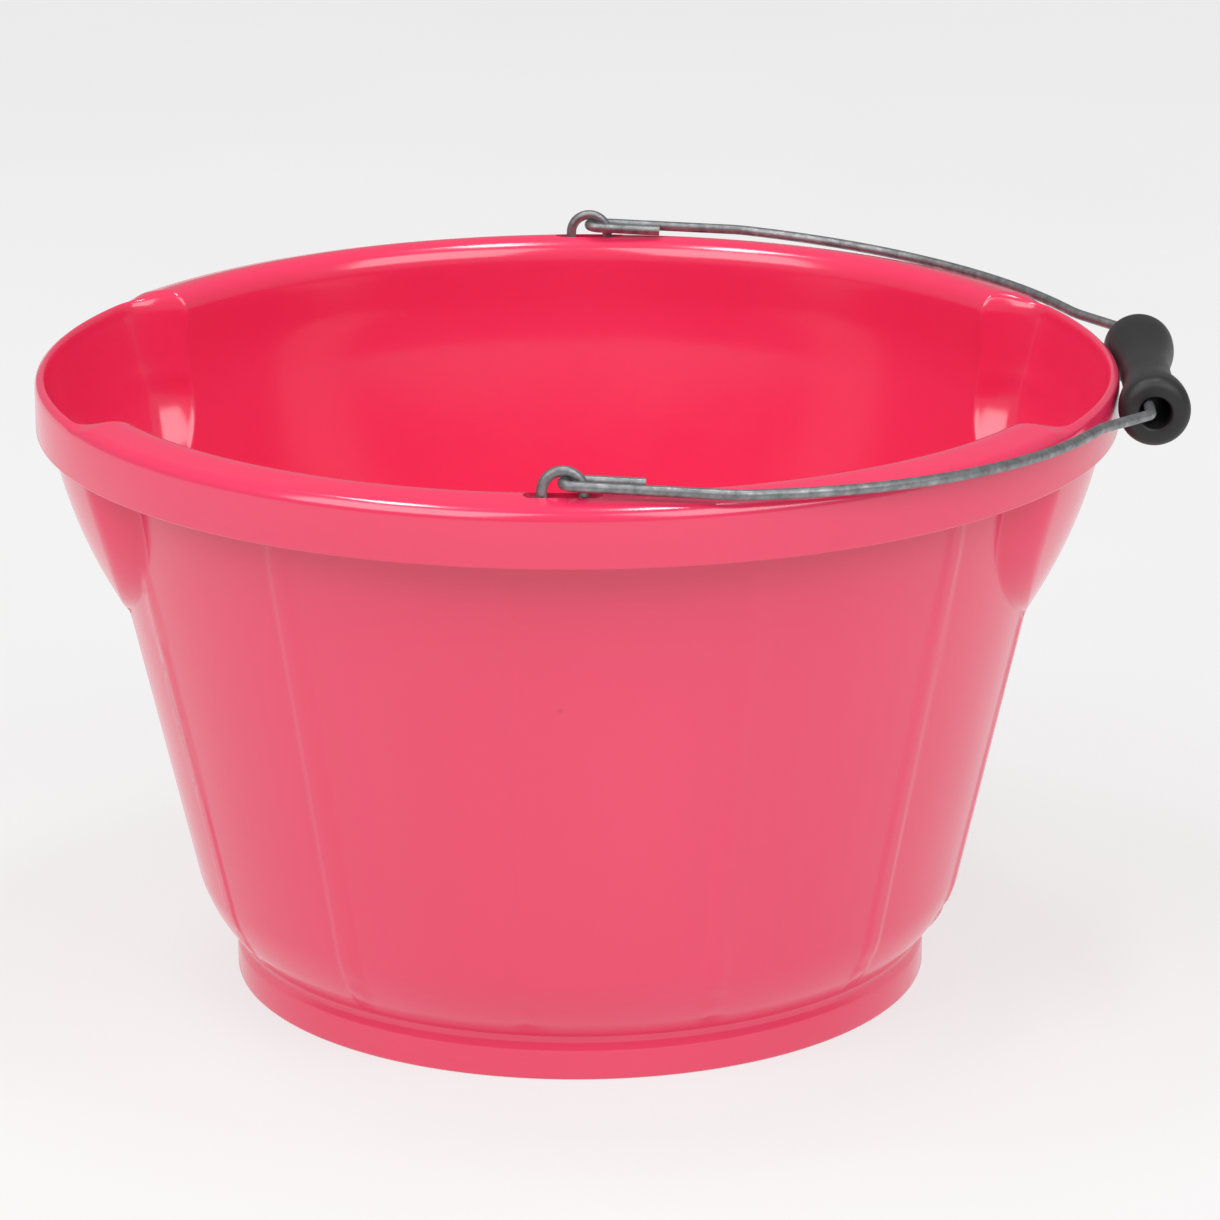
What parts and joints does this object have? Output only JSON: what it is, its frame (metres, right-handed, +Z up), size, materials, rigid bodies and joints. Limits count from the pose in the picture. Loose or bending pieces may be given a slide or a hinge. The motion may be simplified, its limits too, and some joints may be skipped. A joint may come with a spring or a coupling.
{
  "type": "wash bucket with bail handle",
  "caption": "Round tapered plastic wash bucket with two pouring lips, a rolled rim, wire eyes and a swinging wire bail with a loose plastic grip.",
  "frame": {"origin": "centre of the foot ring on the floor", "axes": "+Z up through the mouth; the pouring lips face +X and -X and the bail at rest lies over the +X lip; the eyes that carry the bail stand at -Y and +Y"},
  "size_m": [0.4212, 0.398, 0.2451],
  "materials": {
    "bucket_plastic": "smooth glossy moulded plastic, strong pink",
    "galvanised_wire": "dull mottled zinc coating",
    "grip_plastic": "satin black moulded plastic"
  },
  "bodies": {
    "bucket": {"bucket_body": "bucket_plastic", "ear_wire_front": "galvanised_wire", "ear_wire_back": "galvanised_wire"},
    "bail": {"bail_wire": "galvanised_wire"},
    "grip": {"grip": "grip_plastic"}
  },
  "joints": [
    {"name": "bail_swing", "type": "hinge", "parent": "bucket", "child": "bail", "pos_m": [0, 0, 0.2391], "axis": [0, -1, 0], "range_deg": [0, 185.73]},
    {"name": "grip_spin", "type": "hinge", "parent": "bail", "child": "grip", "pos_m": [0.20916, 0, 0.22608], "axis": [0, 1, 0], "continuous": true}
  ]
}
